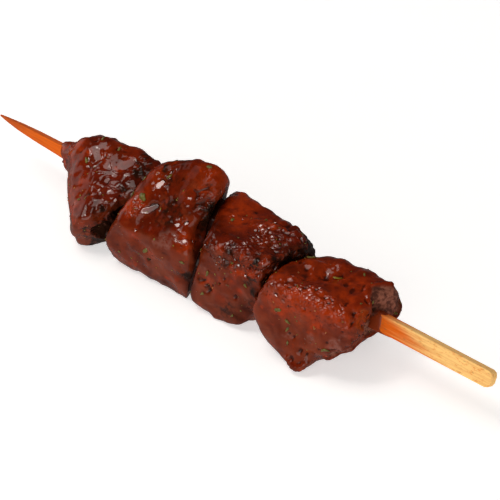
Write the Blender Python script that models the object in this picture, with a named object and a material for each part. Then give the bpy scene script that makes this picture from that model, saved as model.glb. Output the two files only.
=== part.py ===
"""Lamb kebab: four chunks of glazed lamb threaded on a flat wooden skewer.

The kebab lies on its side as on a plate. X runs along the skewer towards its blunt end, Z is up, the
meat rests on Z = 0 and the origin is the middle of the whole kebab's footprint. Lengths in the tables
are millimetres and angles are degrees. A direction is (turn, rise): turn goes round Z from +X towards
+Y, rise goes up from level.
"""

import math
import random

import bmesh
import bpy
from mathutils import Matrix, Vector, noise
from mathutils.bvhtree import BVHTree

MM = 0.001

# Skewer: a flat stick with eased edges, shaved to a point at -X and chamfered at the blunt end at +X.
SKEWER_LENGTH = 180.0
SKEWER_WIDTH = 4.8
SKEWER_THICKNESS = 2.8
SKEWER_EDGE = 0.45
SKEWER_LEAN = 25.0
BLUNT_CHAMFER = 1.5
# The shaved end: place on the skewer, lower edge, upper edge and thickness there.
POINT_STATIONS = [
    (-90, 1.2, 1.7, 0.6),
    (-87, 0.7, 1.9, 1.2),
    (-82, 0.1, 2.15, 2.0),
    (-75, -0.4, 2.35, 2.6),
    (-66, -0.9, 2.4, 2.8),
    (-44, -2.4, 2.4, 2.8),
]

# Meat. A chunk is a rounded block: knife-cut faces that blend into one another, with lumps, dents and
# an uneven surface.
SKEWER_HEIGHT = 15.0
TUNNEL_CLEARANCE = 0.3
NEIGHBOUR_GAP = 0.36
EDGE_SHARPNESS = 11
RELIEF_HEIGHT = 0.9
RELIEF_SIZE = 9.0
GRAIN_HEIGHT = 0.35
GRAIN_SIZE = 3.2
CHUNK_SUBDIVISIONS = 6
CHUNK_KEPT_FACES = 0.13

# Herb flakes stuck to the glaze
HERB_WIDTH = 0.62
HERB_THICKNESS = 0.7
HERB_SINK = 0.1
HERB_SIDES = 6
HERB_LENGTHS = (1.2, 2.0)
HERB_CLEARANCE = 2.6
HERB_DRAWS = 8
HERB_SEED = 7

# Planes across the skewer where two neighbours press together: place on the skewer, turn and rise of
# the direction that looks from the left chunk to the right one.
CONTACTS = [(-31.5, -10, 0), (-7.2, 21, -11), (21.8, -7, -8)]

# Each chunk: its middle from the skewer's centre line, its knife-cut faces as (turn, rise, distance
# from the middle), its lumps and dents as (turn, rise, height, angular width), and its larger herb
# flakes as (turn, rise, length).
CHUNKS = [
    {
        "name": "lamb_chunk_1",
        "middle": (-45, -4, -3),
        "faces": [
            (-136, -4, 10), (-115, 42, 9.2), (-98, -40, 17), (-40, -52, 17), (0, -90, 14.5), (90, 44, 15.6),
            (130, 52, 17.5), (175, 48, 16.8), (-74, 64, 8.6), (-31, -19, 10.4), (0, 10, 15.5), (180, 0, 16),
            (90, 0, 15),
        ],
        "lumps": [
            (-66, 0, 1, 12), (120, 50, 0.3, 14), (-30, 30, 0.8, 10), (-45, -20, 1, 12), (160, 46, 0.6, 12),
            (72, 42, 1, 10), (166, 14, 5.6, 8), (-12, 4, -4.5, 15),
        ],
        "herbs": [(-176, 59, 1.5), (-92, 20, 0.9)],
    },
    {
        "name": "lamb_chunk_2",
        "middle": (-20.5, -5, -2),
        "faces": [
            (-140, 0, 20), (-162, 26, 13), (143, 51, 18), (90, 44, 20), (55, 24, 26), (4, 42, 23),
            (0, 0, 18), (-166, -8, 16), (0, -90, 14), (-90, 49, 11), (-88, -8, 10.8), (90, 0, 15),
            (-90, -44, 17),
        ],
        "lumps": [
            (38, 54, 2.8, 14), (80, 62, 1, 12), (-12, 25, -4, 13), (-60, 0, 1, 12), (-141, -14, 1.4, 14),
            (36, 30, 2.2, 12),
        ],
        "herbs": [(-135, 62, 2.4), (-81, -7, 2.1), (98, 81, 1.6), (-34, 6, 1.3), (34, 60, 1.5), (-124, -23, 0.9)],
    },
    {
        "name": "lamb_chunk_3",
        "middle": (8.5, -4, -2),
        "faces": [
            (82, 40, 18.4), (178, 41, 20.5), (-154, 18, 15.2), (64, 27, 18.2), (0, 0, 16), (180, 0, 17.5),
            (0, -90, 14.5), (-88, 8, 9.5), (0, 90, 12), (90, 0, 15), (-20, -45, 14.5), (-120, -44, 17),
        ],
        "lumps": [
            (-66, -40, 0.4, 14), (138, 35, 1.5, 11), (-31, 44, 1, 10), (-110, 42, 1, 9), (-75, 50, -1, 9),
            (-135, -34, 1.2, 14),
        ],
        "herbs": [(-121, 5, 1.4), (-78, 42, 1.2), (-120, -24, 1.2), (-51, 13, 1.1), (-69, -36, 0.9), (88, 56, 1.0)],
    },
    {
        "name": "lamb_chunk_4",
        "middle": (38, -7, -3),
        "faces": [
            (-116, -27, 15.2), (-171, 34, 18.5), (131, 52, 17), (90, 44, 18.1), (60, 30, 24),
            (31, -12, 22), (-6, -43, 10.4), (0, -90, 13.5), (-85, 8, 9.5), (0, 88, 12.5), (-10, 4, 14.2), (90, 0, 17),
            (180, 0, 17), (-48, -34, 10.4),
        ],
        "lumps": [
            (18, 8, -2, 20), (-17, 23, 1, 10), (-3, 42, 1, 10), (-86, -46, 2.6, 13), (165, 62, -0.8, 9),
            (120, 70, -1.4, 10), (85, 58, -1.2, 9), (106, 42, 0.8, 9), (63, 43, 0.8, 9), (149, 48, 0.6, 9),
            (38, 32, 1.2, 12),
        ],
        "herbs": [
            (-128, 25, 2.1), (-47, -3, 2.1), (79, 67, 2.0), (-115, 17, 1.6), (-109, -17, 1.4), (-114, 3, 1.4),
            (17, 37, 1.1), (59, 47, 1.1),
        ],
    },
]


def direction(turn, rise):
    """The unit vector of a direction given in degrees."""
    turn, rise = math.radians(turn), math.radians(rise)
    return Vector((math.cos(rise) * math.cos(turn), math.cos(rise) * math.sin(turn), math.sin(rise)))


def clear_scene():
    for leftover in list(bpy.data.objects):
        bpy.data.objects.remove(leftover)


def material(name, colour, roughness):
    """A Principled BSDF of that linear colour and roughness."""
    made = bpy.data.materials.new(name)
    made.use_nodes = True
    shader = made.node_tree.nodes["Principled BSDF"]
    shader.inputs["Base Color"].default_value = (*colour, 1)
    shader.inputs["Roughness"].default_value = roughness
    return made


def mesh_object(name, shape, finish):
    """A linked object holding the bmesh, which is freed."""
    mesh = bpy.data.meshes.new(name)
    shape.to_mesh(mesh)
    shape.free()
    mesh.materials.append(finish)
    made = bpy.data.objects.new(name, mesh)
    bpy.context.collection.objects.link(made)
    return made


def apply_modifiers(thing):
    """Replaces the object's mesh with the evaluated one and removes its modifiers."""
    graph = bpy.context.evaluated_depsgraph_get()
    thing.data = bpy.data.meshes.new_from_object(thing.evaluated_get(graph))
    thing.modifiers.clear()


def skewer_shape(extra=0.0):
    """The stick about the X axis, grown by extra all round for use as a cutter."""
    shape = bmesh.new()
    bmesh.ops.create_cube(shape, size=1)
    bmesh.ops.scale(shape, verts=shape.verts, vec=(SKEWER_LENGTH, 1, 1))
    for place, *_ in POINT_STATIONS[1:]:
        bmesh.ops.bisect_plane(
            shape, geom=shape.verts[:] + shape.edges[:] + shape.faces[:], plane_co=(place, 0, 0), plane_no=(1, 0, 0)
        )
    for vertex in shape.verts:
        lower, upper, thickness = (-SKEWER_WIDTH / 2, SKEWER_WIDTH / 2, SKEWER_THICKNESS)
        for place, *sizes in POINT_STATIONS:
            if abs(vertex.co.x - place) < 0.1:
                lower, upper, thickness = sizes
        side = 1 if vertex.co.y > 0 else -1
        top = vertex.co.z > 0
        vertex.co.y = side * (thickness / 2 + extra)
        vertex.co.z = upper + extra if top else lower - extra
        if abs(vertex.co.x) > SKEWER_LENGTH / 2 - 0.1:
            vertex.co.x += math.copysign(extra, vertex.co.x)
    blunt = [
        edge for edge in shape.edges
        if all(end.co.x > 0 for end in edge.verts) and abs(edge.verts[0].co.z - edge.verts[1].co.z) < 0.1
        and abs(edge.verts[0].co.x - edge.verts[1].co.x) < 0.1
    ]
    bmesh.ops.bevel(shape, geom=blunt, offset=BLUNT_CHAMFER, affect="EDGES", segments=2, profile=0.5, material=-1)
    long_edges = [edge for edge in shape.edges if edge.calc_face_angle(0) > math.radians(50)]
    bmesh.ops.bevel(
        shape, geom=long_edges, offset=SKEWER_EDGE, offset_type="OFFSET", affect="EDGES", segments=2, profile=0.5,
        material=-1, clamp_overlap=True,
    )
    bmesh.ops.rotate(shape, verts=shape.verts, matrix=Matrix.Rotation(math.radians(-SKEWER_LEAN), 3, "X"))
    return shape


def reach(way, chunk):
    """How far the chunk's surface lies from its middle along the unit vector way."""
    total = sum(
        (lean / distance) ** EDGE_SHARPNESS for lean, distance in
        ((way.dot(direction(turn, rise)), distance) for turn, rise, distance in chunk["faces"])
        if lean > 0
    )
    radius = total ** (-1 / EDGE_SHARPNESS)
    for turn, rise, height, width in chunk["lumps"]:
        off = math.degrees(way.angle(direction(turn, rise)))
        radius += height * math.exp(-((off / width) ** 2))
    return radius


def chunk_shape(chunk):
    shape = bmesh.new()
    bmesh.ops.create_icosphere(shape, subdivisions=CHUNK_SUBDIVISIONS, radius=1)
    middle = Vector(chunk["middle"])
    for vertex in shape.verts:
        way = vertex.co.normalized()
        point = middle + way * reach(way, chunk)
        point += way * RELIEF_HEIGHT * noise.fractal(point / RELIEF_SIZE, 1.0, 2.0, 3)
        point += way * GRAIN_HEIGHT * noise.noise(point / GRAIN_SIZE)
        vertex.co = point
    return shape


def press(shape, left, right):
    """Flattens a chunk where it meets its neighbours and the plate."""
    for vertex in shape.verts:
        point = vertex.co
        for contact, side in ((left, -1), (right, 1)):
            if contact is None:
                continue
            place, turn, rise = contact
            facing = direction(turn, rise) * side
            over = (point - Vector((place, 0, 0))).dot(facing) + NEIGHBOUR_GAP / 2
            if over > 0:
                point -= facing * over
        point.z = max(point.z, -SKEWER_HEIGHT)
        vertex.co = point


def thin_out(lump, left, right):
    """Keeps only the faces the shape needs, with its flats as flat as before."""
    decimate = lump.modifiers.new("thin_out", "DECIMATE")
    decimate.ratio = CHUNK_KEPT_FACES
    apply_modifiers(lump)
    shape = bmesh.new()
    shape.from_mesh(lump.data)
    press(shape, left, right)
    shape.to_mesh(lump.data)
    shape.free()


def herb_spots(chunk, left, right, draw):
    """Where the chunk's herb flakes lie: (direction, length), the shown ones first and then the drawn ones."""
    spots = [(direction(turn, rise), length) for turn, rise, length in chunk["herbs"]]
    middle = Vector(chunk["middle"])
    while len(spots) < len(chunk["herbs"]) + HERB_DRAWS:
        way = direction(draw.uniform(15, 200), math.degrees(math.asin(draw.uniform(-0.7, 0.9))))
        point = middle + way * reach(way, chunk)
        walls = [point.z + SKEWER_HEIGHT, Vector((0, point.y, point.z)).length - SKEWER_WIDTH / 2]
        for contact, side in ((left, -1), (right, 1)):
            if contact is not None:
                walls.append((Vector((contact[0], 0, 0)) - point).dot(direction(*contact[1:]) * side))
        if min(walls) > HERB_CLEARANCE and all(way.angle(other) > 0.3 for other, _ in spots):
            spots.append((way, draw.uniform(*HERB_LENGTHS)))
    return spots


def herb_flake(way, length, middle, surface, draw):
    """A small flat flake bedded in the surface where the direction meets it."""
    shape = bmesh.new()
    bmesh.ops.create_cone(
        shape, cap_ends=True, segments=HERB_SIDES, radius1=length / 2, radius2=length / 2.6, depth=HERB_THICKNESS
    )
    bmesh.ops.scale(shape, verts=shape.verts, vec=(1, HERB_WIDTH, 1))
    bmesh.ops.rotate(shape, verts=shape.verts, matrix=Matrix.Rotation(draw.uniform(0, math.pi), 3, "Z"))
    spot, normal, *_ = surface.ray_cast(middle + way * 60, -way)
    bmesh.ops.rotate(shape, verts=shape.verts, matrix=normal.to_track_quat("Z", "Y").to_matrix())
    bmesh.ops.translate(shape, verts=shape.verts, vec=spot + normal * HERB_SINK)
    return shape


def fuse_herbs(lump, chunk, left, right, finish, draw):
    """Joins the herb flakes to the chunk they lie on."""
    surface = BVHTree.FromPolygons(
        [vertex.co.copy() for vertex in lump.data.vertices], [tuple(face.vertices) for face in lump.data.polygons]
    )
    flakes = bpy.data.collections.new(chunk["name"] + "_herbs")
    bpy.context.scene.collection.children.link(flakes)
    for number, (way, length) in enumerate(herb_spots(chunk, left, right, draw)):
        shape = herb_flake(way, length, Vector(chunk["middle"]), surface, draw)
        flake = mesh_object(f"{chunk['name']}_herb_{number}", shape, finish)
        bpy.context.collection.objects.unlink(flake)
        flakes.objects.link(flake)
    union = lump.modifiers.new("herbs", "BOOLEAN")
    union.operation = "UNION"
    union.operand_type = "COLLECTION"
    union.collection = flakes
    apply_modifiers(lump)
    for flake in list(flakes.objects):
        bpy.data.objects.remove(flake)
    bpy.data.collections.remove(flakes)


def cut_tunnel(lump, cutter):
    """Takes the skewer's way through the chunk out of it."""
    tunnel = lump.modifiers.new("tunnel", "BOOLEAN")
    tunnel.operation = "DIFFERENCE"
    tunnel.object = cutter
    apply_modifiers(lump)


def settle(things):
    """Turns millimetres into metres, stands the kebab on Z = 0 and centres its footprint."""
    ends = [vertex.co.y for thing in things for vertex in thing.data.vertices]
    move = Matrix.Translation((0, -(min(ends) + max(ends)) / 2, SKEWER_HEIGHT))
    for thing in things:
        thing.data.transform(Matrix.Scale(MM, 4) @ move)
        thing.data.shade_smooth()


def main():
    clear_scene()
    draw = random.Random(HERB_SEED)
    wood = material("wood", (0.75, 0.42, 0.15), 0.6)
    meat = material("glazed_lamb", (0.12, 0.02, 0.008), 0.25)
    made = [mesh_object("skewer", skewer_shape(), wood)]
    cutter = mesh_object("skewer_cutter", skewer_shape(TUNNEL_CLEARANCE), wood)
    edges = [None, *CONTACTS, None]
    for chunk, left, right in zip(CHUNKS, edges, edges[1:]):
        shape = chunk_shape(chunk)
        press(shape, left, right)
        lump = mesh_object(chunk["name"], shape, meat)
        thin_out(lump, left, right)
        fuse_herbs(lump, chunk, left, right, meat, draw)
        cut_tunnel(lump, cutter)
        made.append(lump)
    bpy.data.objects.remove(cutter)
    settle(made)


main()
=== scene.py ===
"""Glazed lamb kebab: the looks of four meat chunks, their herbs, spices and sauce, and the wooden skewer.

Each piece is worked out in millimetres from the skewer's centre line and then placed in metres in the
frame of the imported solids. A direction is (turn, rise) in degrees: turn goes round Z from +X towards
+Y, rise goes up from level.
"""

import math
import random

import bmesh
import bpy
import numpy as np
from bpy.props import FloatProperty, FloatVectorProperty, IntProperty, PointerProperty
from mathutils import Matrix, Vector, noise
from mathutils.bvhtree import BVHTree


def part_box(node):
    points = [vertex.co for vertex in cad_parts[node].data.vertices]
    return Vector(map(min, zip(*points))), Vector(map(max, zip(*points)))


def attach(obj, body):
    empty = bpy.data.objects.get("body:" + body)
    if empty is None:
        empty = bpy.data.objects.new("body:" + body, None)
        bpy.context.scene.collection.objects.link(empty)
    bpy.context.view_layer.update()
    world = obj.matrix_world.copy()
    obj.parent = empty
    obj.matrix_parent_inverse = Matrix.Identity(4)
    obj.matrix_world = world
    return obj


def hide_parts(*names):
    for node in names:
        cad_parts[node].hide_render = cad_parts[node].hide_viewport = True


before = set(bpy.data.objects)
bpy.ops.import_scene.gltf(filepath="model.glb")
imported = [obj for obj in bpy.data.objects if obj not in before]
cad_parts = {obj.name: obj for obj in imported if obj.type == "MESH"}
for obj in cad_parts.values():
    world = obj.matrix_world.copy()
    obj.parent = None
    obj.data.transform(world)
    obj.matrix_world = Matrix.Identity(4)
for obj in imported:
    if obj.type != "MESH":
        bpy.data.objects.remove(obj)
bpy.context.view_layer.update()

bl_info = {
    "name": "Glazed Lamb Kebab",
    "version": (1, 0, 0),
    "blender": (4, 5, 0),
    "location": "View3D > Sidebar > Kebab",
    "description": "Builds a skewer of four glazed lamb chunks with herbs, spices and sauce",
    "category": "Object",
}

MM = 0.001
SKEWER_LOW, SKEWER_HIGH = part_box("skewer")
SKEWER_AXIS = Vector((0, (SKEWER_LOW.y + SKEWER_HIGH.y) / 2, (SKEWER_LOW.z + SKEWER_HIGH.z) / 2)) / MM

# The cut of the meat, as in the solids
SKEWER_WIDTH = 4.8
SKEWER_THICKNESS = 2.8
SKEWER_LEAN = 25.0
EDGE_SHARPNESS = 11
RELIEF_HEIGHT = 0.9
RELIEF_SIZE = 9.0
GRAIN_HEIGHT = 0.35
GRAIN_SIZE = 3.2
CONTACTS = [(-31.5, -10, 0), (-7.2, 21, -11), (21.8, -7, -8)]

# The larger herb flakes, as in the solids: the lengths of those drawn on the far side, how far they keep
# from the skewer, the plate and the next chunk, how many are drawn for each chunk, and the draw's seed
HERB_LENGTHS = (1.2, 2.0)
HERB_CLEARANCE = 2.6
HERB_DRAWS = 8
HERB_SEED = 7

# The flakes laid over them are a little larger, and one longer than this has dried yellow
FLAKE_GROWTH = 1.35
DRY_LENGTH = 2.5

# Where neighbours press together the meeting surface is uneven, and a side that stands clear of its
# neighbour stays round. Lengths in mm.
MEETING_GAP = 0.1
MEETING_RELIEF = 0.8
MEETING_SIZE = 6.0
FREE_ROUNDING = 2.5
# The lowest part of a chunk, which the plate hides
PLATE_BAND = 0.4
# At a seam the fine relief is cut off with a rounded rim, and a band beside it is painted with shade
SEAM_RIM = 0.3
SEAM_SHADE = 0.9
SEAM_BAND = (-2.0, -0.3)

# Sauce in the groove at each contact, coloured with painted shade: how deep it lies at most, and where it
# rises as (angle round the skewer, width, height): 0 is the back, 90 the top, 180 the front and 270 the
# plate.
GROOVES = [
    (1.6, [(95, 30, 1.2)]),
    (1.8, [(215, 45, 0.6), (265, 30, 0.7), (60, 25, 1.0)]),
    (1.6, [(240, 25, 0.7)]),
]
# The bead of sauce: how far it stands out and to the side, and how far it is sunk
BEAD_RISE = 1.1
BEAD_WIDTH = 1.2
BEAD_SINK = 0.6

# Sauce round the skewer where it leaves the meat: start, end, thickness, the angle round the skewer at
# which it reaches further (0 the top edge, 90 the back, 180 the lower edge), by what share, how bluntly
COLLARS = [(-56.0, -63.5, 0.7, 10, 0.35, 1), (47.5, 54.2, 0.4, 185, 0.9, 5)]

# The directions that a flat pool of glaze faces to mirror the front light and the fill light
GLINT = (-77, 57)
SOFT_GLINT = (-60, 34)

# Each chunk, with its directions seen from its middle and its widths in degrees:
# - middle: its place from the skewer's centre line; faces: its knife cuts (turn, rise, distance)
# - lumps: its swellings and hollows (turn, rise, height, width)
# - herbs: its larger flakes (turn, rise, length); grain_way: which way its muscle fibres run
# - char, bare, crinkle, orange, milky, shade: where it is charred (partly painted shade), unglazed,
#   crinkled, thick with orange sauce, given a painted sheen and painted with shade (turn, rise, width,
#   strength)
# - facets: where it is chipped into broad flats; calm: where the glaze lies smooth
# - pits and bumps: its small hollows and swellings, as deep or high in mm as they are strong
# - pools: flats of glaze (turn, rise, width), which face the glint unless a direction follows
# - sparkles: swarms of small pools (turn, rise, how far they scatter, how many)
CHUNK_1 = {
    "node": "lamb_chunk_1",
    "middle": (-45, -4, -3),
    "faces": [
        (-136, -4, 10), (-115, 42, 9.2), (-98, -40, 17), (-40, -52, 17), (0, -90, 14.5), (90, 44, 15.6),
        (130, 52, 17.5), (175, 48, 16.8), (-74, 64, 8.6), (-31, -19, 10.4), (0, 10, 15.5), (180, 0, 16),
        (90, 0, 15),
    ],
    "lumps": [
        (-66, 0, 1, 12), (120, 50, 0.3, 14), (-30, 30, 0.8, 10), (-45, -20, 1, 12), (160, 46, 0.6, 12),
        (72, 42, 1, 10), (166, 14, 5.6, 8), (-12, 4, -4.5, 15),
    ],
    "herbs": [(-176, 59, 1.5), (-92, 20, 0.9)],
    "grain_way": (-20, 35),
    "char": [
        (-8, 36, 8, 0.6), (26, 40, 12, 0.6), (-48, 18, 6, 0.5), (50, 42, 9, 0.6), (-12, 50, 5, 0.4),
        # The four marks on the next line and (-34, 6) blacken the lower right face: charring with painted
        # shade under the ridge
        (-45, -22, 25, 1.0), (-20, -4, 22, 1.0), (10, -20, 34, 1.0), (-50, -50, 16, 1.0),
        (-34, 6, 12, 1.0), (-78, 32, 9, 0.4), (-60, 14, 8, 0.35),
    ],
    "bare": [(-45, -22, 22, 1.0), (-18, 0, 19, 1.0), (0, -25, 40, 1.0), (-34, 4, 10, 1.0)],
    "crinkle": [(-40, 22, 8, 0.4), (30, 45, 12, 0.4), (-8, 40, 10, 0.4)],
    "orange": [
        (-96, 6, 11, 1.0), (-67, -1, 9, 0.5), (50, 55, 8, 0.5), (170, 40, 16, 0.6), (90, 62, 22, 0.5),
        (-115, 15, 30, 0.4), (-110, 45, 20, 0.3),
    ],
    "milky": [(153, 67, 6, 0.5), (-25, 54, 8, 0.3), (-97, 30, 14, 0.3)],
    "shade": [
        (16, 36, 12, 0.8), (84, 66, 12, 0.5), (40, 54, 8, 0.4), (-18, -6, 12, 0.9), (-42, 20, 8, 0.6),
        (-61, 26, 8, 0.6), (-56, -8, 12, 0.5),
    ],
    "facets": [(-40, 66, 30, 0.7), (150, 72, 26, 0.6), (40, 52, 22, 0.7), (-5, 38, 18, 0.7)],
    "calm": [(40, 50, 22, 0.5), (-95, 40, 20, 0.3)],
    "pits": [(-13, 37, 5, 0.5), (-19, 31, 4, 0.4), (14, 36, 7, 0.6), (25, 39, 5, 0.5)],
    "bumps": [
        (-51, 18, 4, 0.5), (-41, 21, 4, 0.5), (-62, 12, 4, 0.4), (-29, 27, 4, 0.3), (50, 47, 4, 0.5),
        (43, 43, 4, 0.5), (38, 38, 4, 0.5),
    ],
    "pools": [
        (153, 67, 7, -72, 66), (36, 59, 9, -73, 64), (-30, 62, 8, -71, 67), (-18, 52, 6, -71, 67),
        (2, 40, 7, -71, 67), (-6, 31, 5, -71, 67), (-143, 82, 3, -72, 66), (-42, 26, 3, -76, 60),
        (-29, 27, 3, -76, 60), (-86, 48, 2.5, -80, 60), (-71, 3, 2, -78, 57),
    ],
    "sparkles": [(26, 42, 12, 2), (-40, 23, 8, 4), (-8, 34, 8, 2)],
}
CHUNK_2 = {
    "node": "lamb_chunk_2",
    "middle": (-20.5, -5, -2),
    "faces": [
        (-140, 0, 20), (-162, 26, 13), (143, 51, 18), (90, 44, 20), (55, 24, 26), (4, 42, 23), (0, 0, 18),
        (-166, -8, 16), (0, -90, 14), (-90, 49, 11), (-88, -8, 10.8), (90, 0, 15), (-90, -44, 17),
    ],
    "lumps": [
        (38, 54, 2.8, 14), (80, 62, 1, 12), (-12, 25, -4, 13), (-60, 0, 1, 12), (-141, -14, 1.4, 14),
        (36, 30, 2.2, 12),
    ],
    "herbs": [
        (-135, 62, 2.4), (-81, -7, 2.1), (98, 81, 1.6), (-34, 6, 1.3), (34, 60, 1.5), (-124, -23, 0.9),
    ],
    "grain_way": (-60, 60),
    "char": [
        # The first three marks blacken the cavity under the right lobe: painted shade
        (6, 38, 8, 1.0), (0, 31, 8, 1.0), (10, 24, 9, 1.0), (-29, -11, 6, 0.8), (-75, -21, 4, 0.8),
        (-40, 56, 26, 0.42), (120, 75, 26, 0.36), (10, 56, 18, 0.3),
    ],
    "bare": [],
    "crinkle": [
        (-124, 46, 8, 1.0), (-129, 34, 7, 0.6), (0, 42, 6, 0.8), (16, 46, 7, 0.8), (28, 56, 7, 0.6),
        (-26, 18, 6, 0.4), (-50, 24, 9, 0.3),
    ],
    "orange": [
        (32, 50, 22, 0.6), (-27, 24, 9, 0.9), (-132, 40, 13, 1.0), (-125, 55, 12, 0.9),
        (-150, 60, 14, 0.7), (-70, -5, 9, 0.4), (20, 70, 14, 0.3), (-22, 42, 7, 0.6), (-100, 12, 10, 0.5),
        (150, 76, 16, 0.7),
    ],
    "milky": [(-50, 23, 10, 1.0), (-40, 29, 8, 0.9), (-60, 18, 7, 0.8), (-120, 42, 7, 0.4)],
    "shade": [
        (-164, 61, 7, 0.8), (118, 81, 6, 0.5), (50, 77, 8, 0.5), (-9, 86, 6, 0.5), (12, 73, 7, 0.4),
        (-11, 46, 7, 0.5), (5, 49, 6, 0.5), (-3, 41, 8, 0.6), (10, 33, 8, 1.0), (-6, 20, 8, 0.6),
        (-36, -16, 9, 0.45), (-47, -44, 12, 0.5), (-76, 57, 6, 0.4), (-50, 46, 20, 0.45),
        (-25, 66, 12, 0.5), (75, 72, 8, 0.5), (-110, 66, 12, 0.3),
    ],
    "facets": [],
    "calm": [
        (-50, 58, 42, 0.85), (-150, 72, 32, 0.85), (-70, 15, 36, 0.4), (20, 60, 28, 0.9),
        (120, 70, 24, 0.7),
    ],
    "pits": [
        (-75, -21, 4, 0.8), (-30, -16, 5, 0.8), (-28, -6, 4, 0.6), (-68, 75, 12, 0.5), (-2, 78, 10, 0.5),
        (23, 70, 7, 0.4), (10, 52, 6, 0.8), (5, 45, 6, 1.6), (3, 39, 6, 2.8), (1, 32, 7, 3.4),
        (10, 27, 8, 3.0), (18, 25, 8, 2.4), (28, 27, 7, 1.2),
    ],
    "bumps": [
        (-140, 45, 9, 0.5), (170, 68, 9, 0.4), (0, 60, 9, 0.5), (28, 60, 9, 0.8), (24, 44, 8, 0.8),
        (-24, 28, 5, 0.6), (-26, 20, 4, 0.6), (-28, 13, 4, 0.5),
    ],
    "pools": [
        (-168, 82.3, 3.8), (177, 84, 3.8), (154, 85, 3.8), (97, 78, 1.8), (82, 76, 1.8),
        (-143, 54, 3.2, -75, 60), (-138, 51, 3.2, -75, 60), (-134, 47, 3.2, -75, 60), (-118, 51, 2.2),
        (-119, 36, 2.6, -75, 60), (-106, 52, 5, -76, 59), (-103, 54.5, 5.5, -75, 61),
        (-99, 57, 6, -74, 62), (-96, 59.5, 6, -74, 62), (-92, 62, 6, -74, 62), (-87, 65, 5.5, -74, 62),
        (-82, 67.5, 4.5, -74, 62), (-98, 22, 3), (-31, 39, 3), (-20, 38, 2.5), (0, 58, 1.8),
        (13, 49, 1.5), (13, 46, 1.5), (19, 41, 1.7), (26, 56, 1.7), (23, 56, 1.5), (30, 55, 1.5),
        (-29, 23, 2.4), (-21, 21, 2.4), (-26, 16, 1.6),
    ],
    "sparkles": [(-120, 43, 6, 5), (-127, 49, 6, 10), (16, 45, 5, 3)],
}
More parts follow.
